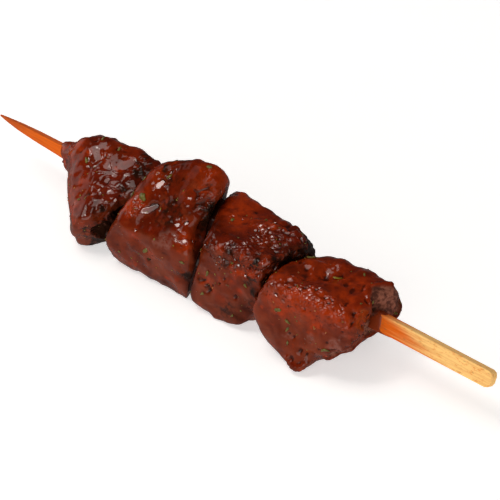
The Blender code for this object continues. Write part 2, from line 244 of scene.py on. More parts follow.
CHUNK_3 = {
    "node": "lamb_chunk_3",
    "middle": (8.5, -4, -2),
    "faces": [
        (82, 40, 18.4), (178, 41, 20.5), (-154, 18, 15.2), (64, 27, 18.2), (0, 0, 16), (180, 0, 17.5),
        (0, -90, 14.5), (-88, 8, 9.5), (0, 90, 12), (90, 0, 15), (-20, -45, 14.5), (-120, -44, 17),
    ],
    "lumps": [
        (-66, -40, 0.4, 14), (138, 35, 1.5, 11), (-31, 44, 1, 10), (-110, 42, 1, 9), (-75, 50, -1, 9),
        (-135, -34, 1.2, 14),
    ],
    "herbs": [
        (-121, 5, 1.4), (-78, 42, 1.2), (-120, -24, 1.2), (-51, 13, 1.1), (-69, -36, 0.9), (88, 56, 1.0),
    ],
    "grain_way": (10, 10),
    "char": [
        (-115, 40, 10, 0.45), (-92, 38, 12, 0.45), (-62, 44, 12, 0.5), (-38, 38, 11, 0.6),
        (-20, 34, 10, 0.8), (-2, 31, 11, 0.9), (-45, 24, 10, 0.45), (-128, 46, 9, 0.5),
        # (-43, -4) darkens the lower right corner turned away from the light: painted shade
        (-22, 12, 14, 0.9), (-20, -10, 16, 0.6), (-43, -4, 7, 0.5), (-40, 8, 6, 0.9), (24, 24, 13, 1.0),
        (44, 18, 16, 1.0), (10, 16, 12, 1.0), (-80, -34, 20, 0.34), (-118, -16, 6, 0.6),
        (-126, -9, 5, 0.6), (10, 52, 14, 0.35), (-30, 62, 12, 0.3), (-85, 58, 10, 0.4),
        (-10, -30, 16, 0.4),
    ],
    "bare": [(-30, 5, 14, 0.5)],
    "crinkle": [
        (40, 64, 22, 1.0), (-15, 60, 18, 1.0), (24, 48, 16, 1.0), (38, 41, 12, 1.0), (-110, 42, 12, 0.8),
        (-60, 60, 16, 1.0), (-85, 48, 12, 0.9), (-40, 44, 14, 1.0), (-20, 32, 14, 1.0), (5, 34, 14, 1.0),
    ],
    "orange": [
        (-118, -6, 8, 0.9), (-95, 5, 9, 0.5), (138, 45, 18, 1.0), (-50, 30, 5, 0.7), (150, 62, 22, 0.9),
        (-75, 10, 7, 0.6), (-60, 2, 6, 0.5), (-92, -24, 8, 0.5), (-106, -16, 5, 0.7), (-72, 24, 6, 0.5),
        (75, 62, 16, 0.8), (-56, 49, 4.5, 1.0), (-40, 31, 5, 1.0), (-105, 50, 5, 0.7),
        (-25, 43, 4.5, 1.0), (-61, 34, 4, 1.0), (-50, 40, 14, 0.5), (5, 60, 14, 0.4), (-76, 38, 6, 0.6),
    ],
    "milky": [
        (-113, 34, 7, 0.6), (-104, 26, 8, 0.5), (-84, 22, 9, 0.5), (-78, 2, 10, 0.5), (-100, -12, 9, 0.4),
        (-64, -12, 8, 0.4), (-125, 8, 8, 0.4),
    ],
    "shade": [
        (-164, 51, 10, 0.9), (-176, 52, 8, 0.8), (-140, 56, 9, 0.5), (-131, 42, 7, 0.4),
        (-137, 30, 6, 0.6), (-50, -22, 13, 1.0), (-60, -38, 13, 0.9), (-40, 9, 8, 0.8), (26, 24, 9, 0.6),
        (8, 33, 7, 0.4), (-137, -19, 7, 0.6), (-114, -36, 10, 0.4), (-95, -33, 8, 0.4),
        (-85, 0, 30, 0.22),
    ],
    "facets": [(-40, 50, 24, 0.3), (10, 50, 26, 0.3)],
    "calm": [],
    "pits": [
        (-113, -19, 3.5, 0.8), (-118, -14, 3, 0.6), (-125, -9, 3, 0.5), (-109, -10, 3, 0.4),
        (-97, -1, 3, 0.4), (-101, 25, 3, 0.4), (-88, 12, 3, 0.4), (-66, -12, 4, 0.4), (-80, 44, 6, 0.5),
        (-62, 45, 5, 0.4), (-45, 38, 4, 0.5), (-15, 34, 4, 0.5), (-48, -30, 10, 0.6),
    ],
    "bumps": [
        (-132, 40, 5, 0.9), (-117, 45, 5, 1.2), (-105, 50, 5, 1.1), (-88, 52, 5, 1.0), (-70, 55, 5, 0.8),
        (-55, 58, 6, 0.6), (-54, 48, 4, 1.3), (-40, 44, 4, 0.9), (-23, 40, 4.5, 1.4), (-40, 31, 4.5, 1.4),
        (-32, 25, 4, 1.2), (-50, 24, 4, 0.7), (-74, 36, 4, 0.8), (-95, 37, 4, 0.8), (-7, 36, 4, 0.9),
        (3, 39, 4, 0.8), (23, 26, 4, 0.7), (56, 37, 4, 1.1), (41, 40, 4, 1.1), (50, 48, 4, 0.8),
        (34, 50, 4, 0.9), (24, 56, 4, 0.9), (12, 52, 4, 0.9), (15, 44, 4, 0.9), (66, 45, 4, 0.8),
        (46, 64, 4, 0.7), (72, 66, 4, 0.7), (29, 41, 4, 1.0), (64, 56, 4, 0.6), (-5, 58, 4, 0.6),
    ],
    "pools": [
        (-40, 33, 2.5), (-34, 29, 2.5), (-50, 62, 2), (-12, 71, 2), (-4, 62, 2), (75, 69, 2.6),
        (60, 62, 2.4), (74, 51, 2), (-7, 36, 2), (3, 39, 2), (-130, 41, 2), (-112, 46, 1.8), (140, 62, 2),
        (46, 66, 2.6), (24, 58, 2.8), (12, 53, 2.6),
    ],
    "sparkles": [
        (-10, 68, 11, 12), (45, 66, 10, 12), (38, 43, 8, 14), (160, 58, 6, 4), (-48, 60, 9, 7),
        (10, 52, 10, 8), (2, 40, 8, 8), (22, 28, 6, 5), (-112, 42, 12, 9), (-60, 46, 12, 12),
        (-34, 36, 10, 10), (-15, 34, 8, 7), (34, 26, 8, 8), (-98, 38, 10, 12), (-75, 42, 9, 10),
        (-52, 34, 9, 10),
    ],
}
CHUNK_4 = {
    "node": "lamb_chunk_4",
    "middle": (38, -7, -3),
    "faces": [
        (-116, -27, 15.2), (-171, 34, 18.5), (131, 52, 17), (90, 44, 18.1), (60, 30, 24), (31, -12, 22),
        (-6, -43, 10.4), (0, -90, 13.5), (-85, 8, 9.5), (0, 88, 12.5), (-10, 4, 14.2), (90, 0, 17),
        (180, 0, 17), (-48, -34, 10.4),
    ],
    "lumps": [
        (18, 8, -2, 20), (-17, 23, 1, 10), (-3, 42, 1, 10), (-86, -46, 2.6, 13), (165, 62, -0.8, 9),
        (120, 70, -1.4, 10), (85, 58, -1.2, 9), (106, 42, 0.8, 9), (63, 43, 0.8, 9), (149, 48, 0.6, 9),
        (38, 32, 1.2, 12),
    ],
    "herbs": [
        (-128, 25, 2.1), (-47, -3, 2.1), (79, 66, 2.9), (-115, 17, 1.6), (-109, -17, 1.4), (-114, 3, 1.4),
        (17, 37, 1.1), (59, 47, 1.1),
    ],
    "grain_way": (-70, 20),
    # (20, 19) blackens the hole beside the skewer: painted shade
    "char": [(20, 19, 6, 0.7), (14, 33, 4, 0.7)],
    "bare": [
        (27, 33, 13, 1.0), (38, 20, 14, 1.0), (10, 12, 14, 1.0), (24, 0, 14, 1.0), (-2, -2, 14, 1.0),
        (-18, -10, 13, 1.0), (-22, -24, 16, 1.0), (-34, -34, 10, 1.0), (-32, -14, 12, 1.0),
        (-42, -28, 8, 1.0),
    ],
    "crinkle": [
        (-136, 38, 12, 0.9), (-122, 48, 14, 0.9), (-95, 54, 15, 0.9), (-60, 54, 15, 0.9),
        (-34, 42, 13, 0.9), (-24, 32, 10, 0.7), (110, 52, 14, 0.4), (-105, 38, 10, 0.4),
    ],
    "orange": [
        (-170, 45, 22, 1.0), (150, 60, 22, 0.8), (-15, 55, 22, 0.9), (-128, 30, 14, 0.8),
        (-118, 50, 18, 1.0), (-85, 60, 18, 1.0), (-50, 58, 18, 1.0), (-28, 44, 14, 1.0),
        # The last two marks below brighten the right end of the ridge with orange: a painted highlight
        (-60, 40, 18, 0.6), (110, 55, 18, 0.6), (30, 60, 24, 0.75), (-8, 34, 8, 0.9), (-18, 40, 8, 0.6),
    ],
    "milky": [
        (-36, 8, 15, 0.7), (-50, 20, 12, 0.4), (-110, -4, 16, 0.5), (-26, 20, 8, 0.5), (-75, 5, 20, 0.5),
    ],
    "shade": [(-178, 48, 9, 0.9), (167, 52, 8, 0.5), (147, 58, 6, 0.3)],
    "facets": [],
    "calm": [(-90, 5, 40, 0.5), (60, 70, 40, 0.3)],
    "pits": [
        (-109, -2, 3.5, 0.4), (-102, -5, 3.5, 0.4), (-87, -24, 4, 0.6), (-76, -28, 4, 0.7),
        (-56, -7, 4, 0.6), (-45, 9, 3.5, 0.4), (-100, -37, 4, 0.4), (-170, 53, 6, 0.4), (175, 61, 7, 0.5),
        (139, 70, 8, 0.6), (54, 74, 6, 0.3), (40, 64, 6, 0.5), (25, 57, 6, 0.5), (21, 22, 5.5, 2.8),
        (165, 50, 9, 0.5), (122, 66, 7, 0.5), (80, 60, 6, 0.4), (-170, 60, 7, 0.3),
    ],
    "bumps": [
        (-135, 38, 6, 0.5), (-132, 48, 6, 0.6), (-123, 64, 6, 0.5), (-98, 71, 7, 0.6), (-60, 72, 7, 0.6),
        (-36, 65, 6, 0.6), (-27, 54, 6, 0.7), (-22, 48, 5, 0.6), (-16, 40, 5, 0.4), (-106, -36, 3.6, 1.0),
        (-101, -39, 3.6, 1.3), (-96, -41, 3.6, 1.4), (-91, -42, 3.6, 1.4), (-86, -42, 3.6, 1.4),
        (-81, -41, 3.6, 1.3), (-76, -39, 3.6, 1.1), (0, 27, 4, 0.6), (-6, 19, 4, 0.6), (-13, 14, 4, 0.6),
        (-21, 10, 4, 0.6), (-29, 3, 4, 0.6), (-36, -6, 4, 0.5), (-156, 57, 4, 0.5), (170, 50, 6, 0.3),
        (152, 52, 7, 0.2), (134, 54, 6, 0.2), (101, 51, 6, 0.3),
    ],
    "pools": [
        (-11, 37, 4), (-18, 30, 4, -70, 52), (-156, 57, 1.6), (-57, 73, 1.6), (-44, 65, 1.6),
        (-31, 56, 1.7), (-27, 49, 1.7), (-25, 44, 1.6), (-144, 41, 1.4), (-147, 48, 1.4), (-119, 59, 1.5),
        (-101, 57, 1.5), (-8, 33, 2.4, -73, 60),
    ],
    "sparkles": [
        (-133, 43, 8, 9), (-125, 60, 8, 10), (-98, 68, 8, 10), (-60, 68, 8, 10), (-36, 60, 7, 10),
        (-25, 50, 6, 9), (-14, 38, 6, 6),
    ],
}
CHUNKS = [CHUNK_1, CHUNK_2, CHUNK_3, CHUNK_4]

# The sparkles' widths in degrees, and how far their facing strays from the glint, in turn and in rise
SPARKLE_WIDTHS = (1.4, 2.8)
SPARKLE_STRAYS = (3.5, 2.5)

# Marks drawn on the side turned away from the viewer: how many, how wide, how strong
SHOWN_SIDE = (-49.5, 38)
HIDDEN_MARKS = {
    "char": (6, 10, 0.65),
    "orange": (7, 14, 0.9),
    "crinkle": (6, 13, 0.9),
    "facets": (4, 20, 0.6),
    "pits": (10, 5, 0.7),
    "bumps": (12, 5, 0.8),
    "milky": (4, 10, 0.6),
    "shade": (3, 12, 0.5),
}
# How ragged the edges of the marks are, for those that have ragged edges, and the noise that frays them:
# (strength, size in mm, where in the noise it is read)
RAGGED = {"char": 1.0, "orange": 1.0, "bare": 0.22, "milky": 0.6, "shade": 0.5}
FRAYS = ((0.5, 2.6, 7.3), (0.35, 1.1, 3.1))

# The fine relief: the size in mm of each noise and where in the noise it is read
FIBRES = (1.5, 11.0)
WAVES = (2.2, 5.0)
FINE = (1.0, 9.0)
FOLDS = (1.25, 21.0)
GRIT = (0.6, 2.0)
SMALL_BLISTERS = (1.4, 4.0)
LARGE_BLISTERS = (2.7, 6.0)
GRAIN_STRETCH = 0.85

# Chipped surfaces: the size of the chips in mm and their tilt, how wide the crease between two of them is,
# and where in the noise the three parts of a chip's slope are read
BROAD_CHIPS = (4.2, 0.2)
FINE_CHIPS = (1.25, 0.42)
CHIP_CREASE = 0.22
CHIP_SPREAD = 7.7
CHIP_SHIFTS = (5, 23, 97)

# Unglazed meat lies lower than the glaze, which ends in a raised lip. The edge and the lip are given in the
# strength of the mark, the rest in mm.
BARE_EDGE = (0.42, 0.5)
BARE_DEPTH = 0.9
LIP_PLACE = 0.35
LIP_WIDTH = 0.07
LIP_HEIGHT = 0.45

# How blurred the rim of a pool is, by its width in degrees, and how ragged
WIDE_POOL = 4.5
WIDE_BLUR = 0.4
NARROW_BLUR = 0.25
POOL_RAGGEDNESS = 0.45

# The marks that a chunk's finish reads
MEAT_MARKS = (
    "char", "bare", "pools", "satin", "crinkle", "orange", "milky", "shade", "hollow", "pale", "roasted",
)

# The hollows, which are painted with shade, are found by smoothing the surface that many times; their depth
# is in mm
HOLLOW_ROUNDS = 10
HOLLOW_DEPTH = 0.16

# Where the light from the room falls off, and the lights: name, the way to it, how far away it is, its
# size, its power setting and whether it shows in the gloss. Lengths in metres.
ROOM_SIDES = (-0.2, 0.5)
TABLE_EDGE = (-0.12, 0.06)
LAMP_COLOUR = (1.0, 0.95, 0.90)
LAMPS = (
    ("front_softbox", (-0.30, -0.35, 0.88), 1.0, 0.16, "key_power", True),
    ("overhead_softbox", (-0.30, -0.2, 0.93), 1.0, 0.5, "top_power", True),
    ("side_panel", (-0.95, -0.05, 0.22), 1.1, 0.8, "side_power", True),
    ("fill_softbox", (0.35, -0.85, 0.40), 1.2, 0.9, "fill_power", True),
    ("ceiling", (0.1, 0.15, 1.0), 1.2, 1.2, "ceiling_power", False),
)
# The floor's outline from its middle to its raised rim: (distance out, height)
FLOOR_OUTLINE = ((0, 0), (0.6, 0), (1.2, 0), (1.7, 0.02), (2.05, 0.1), (2.25, 0.3), (2.3, 0.8))

# The camera: the point it looks at, its direction from there, its distance, and its lens and sensor in mm
CAMERA_AIM = Vector((0.0064, SKEWER_AXIS.y * MM, 0.0157))
CAMERA_WAY = (-49.5, 38.2)
CAMERA_AWAY = 0.80
CAMERA_LENS = 209.088
CAMERA_SENSOR = 36

# Colours of the sauce at the blunt end and of the marks on the wood
COLLAR_RED = (0.20, 0.026, 0.004)
COLLAR_EDGE = (0.42, 0.10, 0.035)
PORE_BROWN = (0.35, 0.14, 0.04)
STAIN_ORANGE = (0.80, 0.24, 0.03)
WORN_WOOD = (1.0, 0.62, 0.22)


def direction(turn, rise):
    """The unit vector of a direction given in degrees."""
    turn, rise = math.radians(turn), math.radians(rise)
    return Vector((math.cos(rise) * math.cos(turn), math.cos(rise) * math.sin(turn), math.sin(rise)))


def drawn_way(draw, lowest, highest, start=-180, end=180):
    """A (turn, rise) drawn evenly over the part of a unit ball between two heights and two turns."""
    return draw.uniform(start, end), math.degrees(math.asin(draw.uniform(lowest, highest)))


def in_frame(points):
    """Millimetres from the skewer's centre line, turned into metres in the frame of the solids."""
    return (np.asarray(points) + np.array(SKEWER_AXIS)) * MM


def ripples(points, size, shift=0.0):
    """Smooth noise of that size at each point, about -1 to 1."""
    return np.array([noise.noise(point) for point in (points / size + shift).tolist()])


def cells(points, size, shift=0.0):
    """How far each point lies from the nearest of a scatter of centres, in cell sizes."""
    return np.array([noise.voronoi(point)[0][0] for point in (points / size + shift).tolist()])


def chips(points, size, tilt):
    """The height of a surface of flat chips, each tilted its own way, with creases between them."""
    heights = []
    for point in points.tolist():
        place = Vector(point) / size
        away, centres = noise.voronoi(place)
        flat = min(max((away[1] - away[0]) / CHIP_CREASE, 0), 1)
        slope = [noise.noise(centres[0] * CHIP_SPREAD + Vector((shift, 0, 0))) for shift in CHIP_SHIFTS]
        heights.append((place - centres[0]).dot(Vector(slope) * tilt * 3) * size * flat)
    return np.array(heights)


def soft_step(values, low, high):
    """0 below low, 1 above high and a smooth rise between."""
    t = np.clip((values - low) / (high - low), 0, 1)
    return t * t * (3 - 2 * t)


def hill(values, width):
    """1 where the values are 0, falling off to both sides over that width."""
    return np.exp(-((values / width) ** 2))


def degrees_off(ways, turn, rise):
    """The angle between each unit vector and a direction, in degrees."""
    return np.degrees(np.arccos(np.clip(ways @ np.array(direction(turn, rise)), -1, 1)))


def marks(ways, places, ragged=0):
    """The strongest of the marks that reach each direction, with ragged edges."""
    mask = np.zeros(len(ways))
    for turn, rise, width, strength in places:
        mask = np.maximum(mask, strength * hill(degrees_off(ways, turn, rise), width))
    return np.clip(mask + ragged * np.clip(mask * 2, 0, 1), 0, 1)


def all_marks(chunk, kind):
    """A chunk's marks of one kind: the given ones and those drawn on its hidden side."""
    draw = random.Random(chunk["node"] + kind)
    count, width, strength = HIDDEN_MARKS.get(kind, (0, 0, 0))
    shown = direction(*SHOWN_SIDE)
    hidden = []
    while len(hidden) < count:
        turn, rise = drawn_way(draw, -0.4, 0.95)
        if direction(turn, rise).dot(shown) < -0.3:
            hidden.append((turn, rise, width * draw.uniform(0.7, 1.3), strength * draw.uniform(0.6, 1.2)))
    return chunk[kind] + hidden


def all_pools(chunk):
    """A chunk's pools of glaze with the drawn ones that sparkle: turn, rise, width and the way it faces."""
    draw = random.Random(chunk["node"] + "sparkles")
    found = [(turn, rise, width, facing or GLINT) for turn, rise, width, *facing in chunk["pools"]]
    for turn, rise, around, count in chunk["sparkles"]:
        for _ in range(count):
            aside = Vector([draw.gauss(0, 0.6) for _ in range(3)]) * math.radians(around)
            way = (direction(turn, rise) + aside).normalized()
            place = math.degrees(math.atan2(way.y, way.x)), math.degrees(math.asin(way.z))
            glint = draw.choice((GLINT, GLINT, SOFT_GLINT))
            width = draw.uniform(*SPARKLE_WIDTHS)
            facing = [angle + draw.gauss(0, stray) for angle, stray in zip(glint, SPARKLE_STRAYS)]
            found.append((*place, width, facing))
    return found


def reach(ways, chunk):
    """How far the chunk's surface lies from its middle along each unit vector."""
    total = np.zeros(len(ways))
    for turn, rise, distance in chunk["faces"]:
        total += (np.clip(ways @ np.array(direction(turn, rise)), 0, None) / distance) ** EDGE_SHARPNESS
    radius = total ** (-1 / EDGE_SHARPNESS)
    for turn, rise, height, width in chunk["lumps"]:
        radius += height * hill(degrees_off(ways, turn, rise), width)
    return radius


def depth_inside(points, chunk):
    """How deep each point lies inside the uncut shape of a chunk."""
    offset = points - np.array(chunk["middle"])
    away = np.linalg.norm(offset, axis=1)
    return reach(offset / away[:, None], chunk) - away


def meeting(points, contact, side):
    """How far each point is past the surface where two neighbours meet, and the way out of this chunk."""
    place, turn, rise = contact
    facing = np.array(direction(turn, rise))
    over = (points - np.array((place, 0, 0))) @ facing
    uneven = MEETING_RELIEF * ripples(points - over[:, None] * facing, MEETING_SIZE, 17.0)
    return (over - uneven) * side + MEETING_GAP / 2, facing * side


def neighbours(index):
    """The contacts of a chunk: (contact, which side it is on, the chunk beyond it)."""
    found = []
    if index > 0:
        found.append((CONTACTS[index - 1], -1, CHUNKS[index - 1]))
    if index < len(CONTACTS):
        found.append((CONTACTS[index], 1, CHUNKS[index + 1]))
    return found


def press(points, index):
    """Flattens a chunk on its neighbours and the plate. Also returns how firmly each side is held."""
    held = []
    for contact, side, other in neighbours(index):
        over, facing = meeting(points, contact, side)
        firm = soft_step(depth_inside(points - over[:, None] * facing, other), -0.5, 1.0)
        past = np.clip(over + FREE_ROUNDING, 0, None)
        rounded = past - FREE_ROUNDING * (1 - np.exp(-past / FREE_ROUNDING))
        move = firm * np.clip(over, 0, None) + (1 - firm) * rounded
        points = points - move[:, None] * facing
        held.append(firm)
    points[:, 2] = np.maximum(points[:, 2], -SKEWER_AXIS.z)
    return points, held


def press_again(points, index, held, uneven):
    """Keeps the fine relief out of the neighbours, with a rounded rim. Also returns what is hidden."""
    hidden = np.clip(1 - (points[:, 2] + SKEWER_AXIS.z) / PLATE_BAND, 0, 1)
    for (contact, side, _), firm in zip(neighbours(index), held):
        over, facing = meeting(points, contact, side)
        hidden = np.maximum(hidden, firm * soft_step(over, -0.5, 0.3))
        move = np.logaddexp(0, over / SEAM_RIM) * SEAM_RIM + uneven * soft_step(over, -SEAM_RIM, SEAM_RIM)
        points = points - (firm * move)[:, None] * facing
    points[:, 2] = np.maximum(points[:, 2], -SKEWER_AXIS.z)
    return points, hidden


def coordinates(mesh, kind="co"):
    """The mesh's points, or its normals, as rows of three numbers."""
    source = mesh.vertices if kind == "co" else mesh.vertex_normals
    values = np.empty(len(source) * 3, np.float32)
    source.foreach_get(kind if kind == "co" else "vector", values)
    return values.reshape(-1, 3).astype(float)


def move_to(mesh, points):
    """Moves the mesh's points and returns its new normals."""
    mesh.vertices.foreach_set("co", np.asarray(points, np.float32).ravel())
    mesh.update()
    return coordinates(mesh, "normal")


def smoothed(mesh, values, rounds):
    """The values averaged with their neighbours' that many times."""
    ends = np.empty(len(mesh.edges) * 2, np.int32)
    mesh.edges.foreach_get("vertices", ends)
    first, second = ends.reshape(-1, 2).T
    count = np.bincount(first, minlength=len(values)) + np.bincount(second, minlength=len(values))
    for _ in range(rounds):
        total = np.zeros_like(values)
        for axis in range(values.shape[1]):
            total[:, axis] = np.bincount(first, values[second, axis], len(values))
            total[:, axis] += np.bincount(second, values[first, axis], len(values))
        values = (values + total / count[:, None]) / 2
    return values


def add_attribute(mesh, name, values):
    """Stores a number for each point of the mesh, which its finish reads by name."""
    mesh.attributes.new(name, "FLOAT", "POINT").data.foreach_set("value", np.asarray(values, np.float32))


def finished_mesh(name, shape, finish=None):
    """Turns a finished bmesh into a mesh of that name."""
    mesh = bpy.data.meshes.new(name)
    shape.to_mesh(mesh)
    shape.free()
    if finish:
        mesh.materials.append(finish)
    return mesh


def make_object(name, mesh, body="root", replaces=()):
    """Links a finished mesh as a piece that rides on the kebab."""
    thing = bpy.data.objects.new(name, mesh)
    bpy.context.scene.collection.objects.link(thing)
    mesh.shade_smooth()
    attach(thing, body)
    if replaces:
        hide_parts(*replaces)
    return thing


# ---------------------------------------------------------------------------------------------------
# Finishes


def new_finish(name):
    """A new material, its node tree, its surface node and the socket that gives the place on the piece."""
    finish = bpy.data.materials.new(name)
    finish.use_nodes = True
    tree = finish.node_tree
    place = put(tree, "ShaderNodeTexCoord").outputs["Object"]
    return finish, tree, tree.nodes["Principled BSDF"], place


def feed(tree, node, inputs):
    """Sets a node's inputs, by name or number, each to a value or to the socket that feeds it."""
    for key, value in inputs.items():
        if isinstance(value, bpy.types.NodeSocket):
            tree.links.new(value, node.inputs[key])
        else:
            node.inputs[key].default_value = value


def put(tree, kind, inputs=None, **settings):
    """Adds a node with those inputs and settings."""
    node = tree.nodes.new(kind)
    for key, value in settings.items():
        setattr(node, key, value)
    feed(tree, node, inputs or {})
    return node


def attribute(tree, name):
    """The number stored under that name for each point of the mesh."""
    return put(tree, "ShaderNodeAttribute", attribute_name=name).outputs["Fac"]


def speckle(tree, place, scale, detail=2.0, roughness=0.5, distortion=0.0):
    """Noise between 0 and 1; the scale is in waves per metre."""
    inputs = {"Vector": place, "Scale": scale, "Detail": detail, "Roughness": roughness}
    return put(tree, "ShaderNodeTexNoise", {**inputs, "Distortion": distortion}).outputs["Fac"]


def spread(tree, value, low, high, to_low=0.0, to_high=1.0):
    """Maps low..high to to_low..to_high smoothly, and holds it outside."""
    inputs = {0: value, 1: low, 2: high, 3: to_low, 4: to_high}
    return put(tree, "ShaderNodeMapRange", inputs, interpolation_type="SMOOTHSTEP").outputs[0]


def maths(tree, operation, first, second=0.0, clamp=False):
    """The result of one sum on two numbers or sockets."""
    inputs = {0: first, 1: second}
    return put(tree, "ShaderNodeMath", inputs, operation=operation, use_clamp=clamp).outputs[0]


def times(tree, first, second):
    """The product of two numbers or sockets."""
    return maths(tree, "MULTIPLY", first, second)


def less(tree, value, share):
    """1 less a share of the value."""
    return maths(tree, "SUBTRACT", 1.0, times(tree, value, share))


def blend(tree, factor, first, second, mode="MIX"):
    """Mixes two colours, each a socket or three numbers."""
    first, second = (
        item if isinstance(item, bpy.types.NodeSocket) else (*item, 1) for item in (first, second)
    )
    inputs = {0: factor, 6: first, 7: second}
    return put(tree, "ShaderNodeMix", inputs, data_type="RGBA", blend_type=mode).outputs[2]


def layered(tree, colour, layers):
    """Lays colours over one another, each by its factor."""
    for factor, tint in layers:
        colour = blend(tree, factor, colour, tint)
    return colour


def relief(tree, layers):
    """Stacks (height socket, strength, distance in metres) into one normal."""
    normal = None
    for height, strength, distance in layers:
        inputs = {"Height": height, "Strength": strength, "Distance": distance}
        if normal is not None:
            inputs["Normal"] = normal
        normal = put(tree, "ShaderNodeBump", inputs).outputs["Normal"]
    return normal


def meat_colour(tree, place, worn, flecks, settings):
    """The glazed meat's colour with its painted shade and sheen; worn holds the sockets of its marks by
    name.
    """
    blotches = speckle(tree, place, 170.0, 3.0, 0.6)
    clouds = speckle(tree, place, 110.0, 2.0, 0.55, 0.4)
    spots = speckle(tree, place, 300.0, 2.0, 0.5)
    base = blend(tree, spread(tree, blotches, 0.36, 0.66), settings.dark_glaze, settings.glaze)
    # Faces turned up are painted darker and redder than the sides: painted shade
    top = blend(tree, spread(tree, blotches, 0.38, 0.62), settings.dark_top_shade_glaze, settings.top_shade_glaze)
    spotted = spread(tree, spots, 0.6, 0.74, 0.0, 0.7)
    wet = maths(tree, "ADD", times(tree, worn["orange"], 1.15), spotted, True)
    fibres = maths(tree, "SUBTRACT", 0.35, times(tree, worn["roasted"], 0.3))
    inside = blend(tree, spread(tree, flecks, 0.4, 0.62), settings.bare_dark, settings.bare_meat)
    burnt = maths(tree, "SUBTRACT", worn["char"], spread(tree, flecks, 0.3, 0.6, 0.35, 0.0))
    # The milky marks are a painted sheen: a pale colour standing in for a dull reflection on the glaze
    sheen = times(tree, spread(tree, worn["milky"], 0.3, 0.65), spread(tree, flecks, 0.34, 0.6, 0.1, 1.0))
    return layered(tree, base, (
        (spread(tree, clouds, 0.46, 0.66, 0.0, 0.55), settings.cloudy_glaze),
        (times(tree, worn["roasted"], 0.9), top),
        (times(tree, wet, spread(tree, flecks, 0.3, 0.6, 0.55, 1.0)), settings.orange_glaze),
        (sheen, settings.painted_sheen_glaze),
        (times(tree, worn["pale"], fibres), settings.pale_glaze),
        # Painted shade in the hollows and on the shade marks
        (spread(tree, worn["hollow"], 0.64, 1.05, 0.0, 0.85), settings.painted_shade),
        (times(tree, worn["shade"], 0.85), settings.painted_shade),
        (worn["bare"], inside),
        (spread(tree, burnt, 0.0, 0.65), settings.char),
    ))


def glaze_coat(tree, worn):
    """How strong the clear coat of glaze is: weaker where the meat is charred, painted with shade, calm or
    bare.
    """
    dull = times(tree, worn["bare"], maths(tree, "ADD", 0.5, times(tree, worn["char"], 0.45)))
    coat = maths(tree, "SUBTRACT", less(tree, worn["char"], 0.35), dull, True)
    coat = times(tree, coat, less(tree, worn["satin"], 0.85))
    return times(tree, coat, less(tree, worn["shade"], 0.6))


def glazed_meat_finish(settings):
    """Glazed roast meat, which follows the marks stored on its mesh."""
    finish, tree, shader, place = new_finish("glazed_meat")
    worn = {name: attribute(tree, name) for name in MEAT_MARKS}
    flecks = speckle(tree, place, 620.0, 3.0, 0.65)
    grit = speckle(tree, place, 1500.0, 2.0, 0.6)
    ripple = times(tree, flecks, maths(tree, "SUBTRACT", 1.0, worn["pools"]))
    chipped = put(tree, "ShaderNodeTexVoronoi", {"Vector": place, "Scale": 950.0}).outputs["Distance"]
    chipped = times(tree, chipped, worn["crinkle"])
    feed(tree, shader, {
        "Base Color": meat_colour(tree, place, worn, flecks, settings),
        "Roughness": maths(tree, "ADD", 0.42, times(tree, worn["bare"], 0.25)),
        "Specular IOR Level": 0.0,
        "Coat Weight": glaze_coat(tree, worn),
        "Coat Roughness": 0.05,
        "Coat IOR": 1.45,
        "Normal": relief(tree, [(flecks, 0.35, 0.0004), (grit, 0.25, 0.00012)]),
        "Coat Normal": relief(tree, [(ripple, 0.22, 0.0003), (chipped, 0.7, 0.0003)]),
    })
    return finish


def flake_finish(name, fresh, dry, scale):
    """Flakes and bits whose colour changes from one to the next, with darker veins."""
    finish, tree, shader, place = new_finish(name)
    veins = speckle(tree, place, scale, 2.0, 0.6)
    dark = [channel * 0.45 for channel in fresh]
    colour = blend(tree, attribute(tree, "tint"), fresh, dry)
    feed(tree, shader, {
        "Base Color": blend(tree, spread(tree, veins, 0.35, 0.7, 0.0, 0.6), colour, dark),
        "Roughness": 0.5,
        "Coat Weight": 0.4,
        "Coat Roughness": 0.12,
        "Normal": relief(tree, [(veins, 0.3, 0.0002)]),
    })
    return finish


def sauce_finish(settings):
    """Thick sauce: painted shade between the chunks, redder and then orange along the blunt end of the
    skewer.
    """
    finish, tree, shader, place = new_finish("thick_sauce")
    swirl = speckle(tree, place, 420.0, 3.0, 0.6)
    along = put(tree, "ShaderNodeSeparateXYZ", {0: place}).outputs["X"]
    outer = maths(tree, "ABSOLUTE", along)
    # The sauce's swirl reuses two glaze colours, one of them the top-shade glaze
    colour = blend(tree, spread(tree, swirl, 0.35, 0.7), settings.dark_glaze, settings.top_shade_glaze)
    # The sauce in the grooves between the chunks is painted in the shade colour
    colour = blend(tree, spread(tree, outer, 0.04, 0.045), settings.painted_shade, colour)
    colour = blend(tree, spread(tree, along, 0.0485, 0.0515), colour, COLLAR_RED)
    feed(tree, shader, {
        "Base Color": blend(tree, spread(tree, along, 0.053, 0.057), colour, COLLAR_EDGE),
        "Roughness": 0.5,
        "Specular IOR Level": 0.1,
        "Coat Weight": 0.55,
        "Coat Roughness": 0.06,
        "Coat IOR": 1.4,
    })
    return finish


def wood_grain(tree, place, stretch, scale, detail, roughness):
    """Noise drawn out along the skewer: the smaller the stretch, the longer its streaks."""
    stretched = put(tree, "ShaderNodeMapping", {"Vector": place, "Scale": (stretch, 1.0, 1.0)}).outputs[0]
    return speckle(tree, stretched, scale, detail, roughness)


